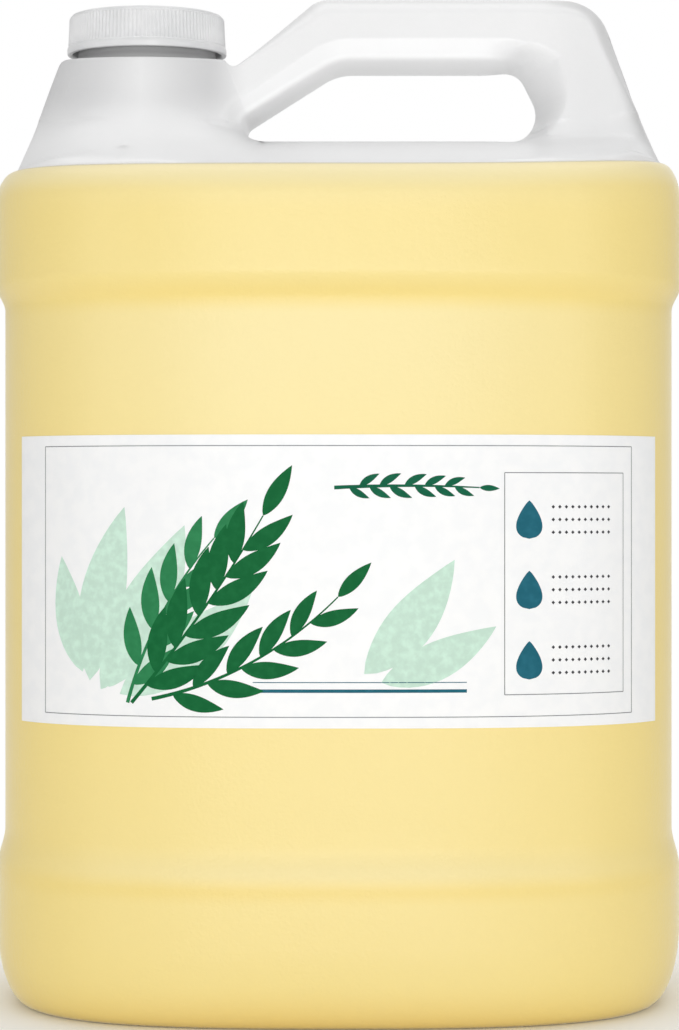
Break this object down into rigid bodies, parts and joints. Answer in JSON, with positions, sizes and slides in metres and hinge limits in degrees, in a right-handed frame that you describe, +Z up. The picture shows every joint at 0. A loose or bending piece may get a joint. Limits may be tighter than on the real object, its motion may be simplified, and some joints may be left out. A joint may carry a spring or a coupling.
{
  "type": "screw-capped oil jug",
  "caption": "Milky blow-moulded jug with a hollow top handle beside its neck, a ribbed screw cap, a wrap label and pale oil inside.",
  "frame": {"origin": "on the ground, at the middle of the jug's plan", "axes": "+Z up, +X from the neck towards the far end of the handle, -Y out of the label"},
  "size_m": [0.172, 0.138, 0.2514],
  "materials": {
    "natural_hdpe": "natural blow-moulded polyethylene, milky and satin",
    "cap_plastic": "moulded polypropylene, satin, ribbed",
    "liner_foam": "foamed polyethylene",
    "label_paper": "coated paper label, printed",
    "oil": "clear pale yellow oil"
  },
  "bodies": {
    "jug": {"jug": "natural_hdpe", "label": "label_paper", "oil_fill": "oil"},
    "liner": {"cap_liner": "liner_foam"},
    "cap": {"cap": "cap_plastic"}
  },
  "joints": [
    {"name": "cap_lift", "type": "slide", "parent": "jug", "child": "liner", "axis": [0, 0, 1], "range_m": [0, 0.017]},
    {"name": "cap_turn", "type": "hinge", "parent": "liner", "child": "cap", "pos_m": [-0.0487, 0, 0.2424], "axis": [0, 0, 1], "range_deg": [0, 1440]}
  ],
  "couplings": [
    {"joint": "cap_lift", "follows": "cap_turn", "m_per_rad": 0.0006737}
  ]
}
